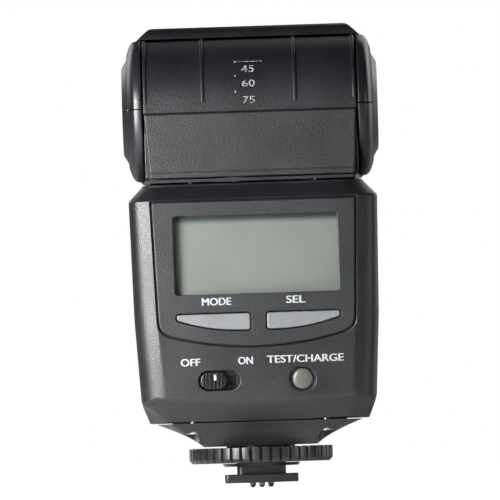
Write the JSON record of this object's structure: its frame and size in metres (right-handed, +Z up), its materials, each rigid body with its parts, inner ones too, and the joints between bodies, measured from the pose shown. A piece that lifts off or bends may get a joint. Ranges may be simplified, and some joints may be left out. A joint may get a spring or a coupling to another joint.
{
  "type": "speedlight flash",
  "caption": "Shoe-mount camera flash with a tilting and swivelling lamp head, rear display, bar buttons, slide switch and a clamping hot-shoe foot.",
  "frame": {"origin": "centre of the hot-shoe foot's underside, on the head's swivel axis", "axes": "+Z up, from the foot to the head; -Y towards the display side; +Y towards the flash lens; +X to the right seen from the display side"},
  "size_m": [0.0646, 0.0834, 0.1172],
  "materials": {
    "body_plastic": "black moulded plastic with a fine spark texture",
    "panel_plastic": "dark grey-black moulded plastic, finely grained",
    "ring_plastic": "black glass-filled plastic",
    "switch_plastic": "black plastic, smooth",
    "button_plastic": "silver-grey satin plastic",
    "milky_plastic": "milky translucent plastic",
    "display_film": "grey-green reflective liquid-crystal display",
    "clear_plastic": "clear moulded plastic",
    "red_plastic": "dark red transparent plastic",
    "circuit_board": "green solder mask",
    "foil_sleeve": "printed foil sleeve",
    "contact_brass": "plated contact metal",
    "plain_steel": "plain plated steel",
    "bright_aluminium": "bright rolled aluminium",
    "tube_glass": "clear quartz glass"
  },
  "bodies": {
    "flash_body": {"rear_cover": "body_plastic", "front_cover": "body_plastic", "base_cover": "body_plastic", "display_panel": "panel_plastic", "foot": "ring_plastic", "mode_switch": "switch_plastic", "select_switch": "switch_plastic", "test_switch": "switch_plastic", "power_switch_body": "switch_plastic", "battery_tray": "switch_plastic", "charge_lamp": "milky_plastic", "lcd_module": "display_film", "display_window": "clear_plastic", "assist_window": "red_plastic", "assist_lamp": "red_plastic", "control_board": "circuit_board", "main_board": "circuit_board", "battery_cell_1": "foil_sleeve", "battery_cell_2": "foil_sleeve", "battery_cell_3": "foil_sleeve", "battery_cell_4": "foil_sleeve", "main_capacitor": "foil_sleeve", "base_screw_1": "plain_steel", "base_screw_2": "plain_steel", "base_screw_3": "plain_steel", "base_screw_4": "plain_steel", "transformer": "plain_steel"},
    "yoke": {"yoke_drum": "body_plastic", "yoke_rear_plate": "panel_plastic", "swivel_base": "switch_plastic", "swivel_retainer": "plain_steel"},
    "head": {"head_upper_shell": "body_plastic", "head_lower_shell": "body_plastic", "hub_cap_left": "body_plastic", "hub_cap_right": "body_plastic", "lens_frame": "body_plastic", "fresnel_lens": "clear_plastic", "zoom_motor": "plain_steel"},
    "zoom_carriage": {"zoom_carriage": "switch_plastic", "reflector": "bright_aluminium", "flash_tube": "tube_glass"},
    "zoom_screw": {"zoom_lead_screw": "plain_steel"},
    "mode_button": {"mode_button": "button_plastic"},
    "select_button": {"select_button": "button_plastic"},
    "test_button": {"test_button": "milky_plastic"},
    "power_switch_knob": {"power_switch_knob": "switch_plastic"},
    "pressure_plate": {"pressure_plate": "ring_plastic"},
    "lock_ring": {"lock_ring": "ring_plastic"},
    "contact_pin_1": {"contact_pin_1": "plain_steel"},
    "contact_pin_2": {"contact_pin_2": "plain_steel"},
    "contact_pin_3": {"contact_pin_3": "plain_steel"},
    "battery_door": {"battery_door": "body_plastic", "door_contact_plate": "contact_brass"},
    "battery_door_latch": {"battery_door_latch": "switch_plastic"}
  },
  "joints": [
    {"name": "head_swivel", "type": "hinge", "parent": "flash_body", "child": "yoke", "pos_m": [0, 0, 0.076], "axis": [0, 0, 1], "range_deg": [-90, 180]},
    {"name": "head_tilt", "type": "hinge", "parent": "yoke", "child": "head", "pos_m": [0, 0, 0.0949], "axis": [1, 0, 0], "range_deg": [0, 90]},
    {"name": "zoom_slide", "type": "slide", "parent": "head", "child": "zoom_carriage", "axis": [0, 1, 0], "range_m": [0, 0.016]},
    {"name": "zoom_screw_turn", "type": "hinge", "parent": "head", "child": "zoom_screw", "pos_m": [-0.019, 0.034, 0.0819], "axis": [0, 1, 0], "range_deg": [0, 1440]},
    {"name": "mode_press", "type": "slide", "parent": "flash_body", "child": "mode_button", "axis": [0, 1, 0], "range_m": [0, 0.0008], "stiffness_N_per_m": 400},
    {"name": "select_press", "type": "slide", "parent": "flash_body", "child": "select_button", "axis": [0, 1, 0], "range_m": [0, 0.0008], "stiffness_N_per_m": 400},
    {"name": "test_press", "type": "slide", "parent": "flash_body", "child": "test_button", "axis": [0, 1, 0], "range_m": [0, 0.0008], "stiffness_N_per_m": 400},
    {"name": "power_switch_slide", "type": "slide", "parent": "flash_body", "child": "power_switch_knob", "axis": [1, 0, 0], "range_m": [0, 0.0029]},
    {"name": "lock_ring_turn", "type": "hinge", "parent": "pressure_plate", "child": "lock_ring", "pos_m": [0, 0, 0.007], "axis": [0, 0, -1], "range_deg": [0, 450]},
    {"name": "pressure_plate_drop", "type": "slide", "parent": "flash_body", "child": "pressure_plate", "axis": [0, 0, -1], "range_m": [0, 0.0019]},
    {"name": "contact_1_press", "type": "slide", "parent": "flash_body", "child": "contact_pin_1", "axis": [0, 0, 1], "range_m": [0, 0.001], "stiffness_N_per_m": 200, "springref_m": -0.0005},
    {"name": "contact_2_press", "type": "slide", "parent": "flash_body", "child": "contact_pin_2", "axis": [0, 0, 1], "range_m": [0, 0.001], "stiffness_N_per_m": 200, "springref_m": -0.0005},
    {"name": "contact_3_press", "type": "slide", "parent": "flash_body", "child": "contact_pin_3", "axis": [0, 0, 1], "range_m": [0, 0.001], "stiffness_N_per_m": 200, "springref_m": -0.0005},
    {"name": "battery_door_swing", "type": "hinge", "parent": "flash_body", "child": "battery_door", "pos_m": [0.0297, 0.0016, 0.022], "axis": [0, 1, 0], "range_deg": [0, 95]},
    {"name": "battery_latch_slide", "type": "slide", "parent": "battery_door", "child": "battery_door_latch", "axis": [0, 1, 0], "range_m": [0, 0.002]}
  ],
  "couplings": [
    {"joint": "zoom_screw_turn", "follows": "zoom_slide", "rad_per_m": 1570.8},
    {"joint": "pressure_plate_drop", "follows": "lock_ring_turn", "m_per_rad": 0.00023873}
  ]
}
